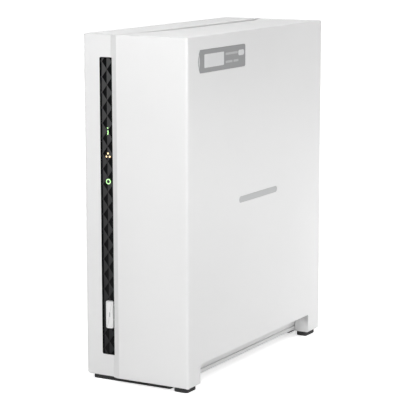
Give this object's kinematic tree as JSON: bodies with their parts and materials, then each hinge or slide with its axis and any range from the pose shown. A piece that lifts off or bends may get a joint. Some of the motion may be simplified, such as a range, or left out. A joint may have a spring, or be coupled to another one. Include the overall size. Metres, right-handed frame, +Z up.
{
  "type": "network attached storage",
  "caption": "Upright one-bay network storage box: white two-part case, dark diamond-relief light strip, disk drive, board and fan inside.",
  "frame": {"origin": "centre of the footprint, on the ground plane under the feet", "axes": "+X to the right seen from the front, +Y from the front to the rear, +Z up"},
  "size_m": [0.065, 0.157, 0.1886],
  "materials": {
    "white_plastic": "fine matt moulding grain, slightly satin",
    "white_key": "smooth satin moulding",
    "black_gloss": "faceted diamond relief, glossy",
    "black_plastic": "plain moulded",
    "green_light": "lit light guide, green",
    "amber_light": "lit light guide, warm white",
    "grey_label": "printed satin film",
    "grey_ink": "printed inset, satin",
    "rubber": "matt rubber",
    "steel": "zinc-plated sheet and screws",
    "cast_aluminium": "cast, bead blasted",
    "heatsink_aluminium": "extruded, clear anodised",
    "disk_mirror": "polished disk",
    "circuit_board": "solder mask with tracks and parts",
    "copper_winding": "enamelled winding",
    "connector_cream": "plain moulded",
    "flat_cable_white": "ribbed flexible flat cable"
  },
  "bodies": {
    "housing": {"left_housing": "white_plastic", "rear_panel": "white_plastic", "front_foot_bar": "rubber", "rear_foot_bar": "rubber", "window_strip": "black_gloss", "status_light": "green_light", "network_light": "amber_light", "ready_light": "green_light", "button_switch": "black_plastic", "front_board": "circuit_board", "front_cable": "flat_cable_white", "mainboard": "circuit_board", "processor": "black_plastic", "heatsink": "heatsink_aluminium", "memory_chip": "black_plastic", "coin_cell_holder": "black_plastic", "coin_cell": "steel", "lan_jack": "steel", "usb_port_lower": "steel", "usb_port_upper": "steel", "dc_jack": "black_plastic", "reset_switch": "black_plastic", "sata_board": "circuit_board", "sata_socket": "black_plastic", "fan_frame": "black_plastic", "fan_stator": "copper_winding", "fan_cable": "black_plastic", "fan_plug": "connector_cream", "cover_screw_lower": "steel", "cover_screw_upper": "steel", "drive_base": "cast_aluminium", "drive_lid": "steel", "drive_board": "circuit_board", "drive_connector": "black_plastic", "drive_cage": "steel", "board_screw_1": "steel", "cage_screw_1": "steel", "board_screw_2": "steel", "cage_screw_2": "steel", "board_screw_3": "steel", "cage_screw_3": "steel", "fan_screw_1": "steel", "fan_screw_2": "steel", "fan_screw_3": "steel", "fan_screw_4": "steel", "drive_screw_front_1": "steel", "drive_screw_rear_1": "steel", "drive_screw_front_2": "steel", "drive_screw_rear_2": "steel"},
    "cover": {"right_cover": "white_plastic", "side_badge": "grey_label", "side_mark": "grey_ink", "front_right_foot": "rubber", "rear_right_foot": "rubber"},
    "power_key": {"power_button": "white_key"},
    "reset_key": {"reset_button": "black_plastic"},
    "rotor": {"fan_rotor": "black_plastic"},
    "platters": {"drive_platters": "disk_mirror"},
    "arm": {"actuator_arm": "cast_aluminium"}
  },
  "joints": [
    {"name": "cover_slide", "type": "slide", "parent": "housing", "child": "cover", "axis": [0, -1, 0], "range_m": [0, 0.12]},
    {"name": "power_button_press", "type": "slide", "parent": "housing", "child": "power_key", "axis": [0, 1, 0], "range_m": [0, 0.0008], "stiffness_N_per_m": 600},
    {"name": "reset_button_press", "type": "slide", "parent": "housing", "child": "reset_key", "axis": [0, -1, 0], "range_m": [0, 0.0006], "stiffness_N_per_m": 600},
    {"name": "fan_spin", "type": "hinge", "parent": "housing", "child": "rotor", "pos_m": [0, 0.067, 0.148], "axis": [0, 1, 0], "continuous": true},
    {"name": "disk_spin", "type": "hinge", "parent": "housing", "child": "platters", "pos_m": [0.012, -0.0072, 0.1245], "axis": [1, 0, 0], "continuous": true},
    {"name": "arm_swing", "type": "hinge", "parent": "housing", "child": "arm", "pos_m": [0.012, 0.02, 0.066], "axis": [1, 0, 0], "range_deg": [0, 32]}
  ]
}
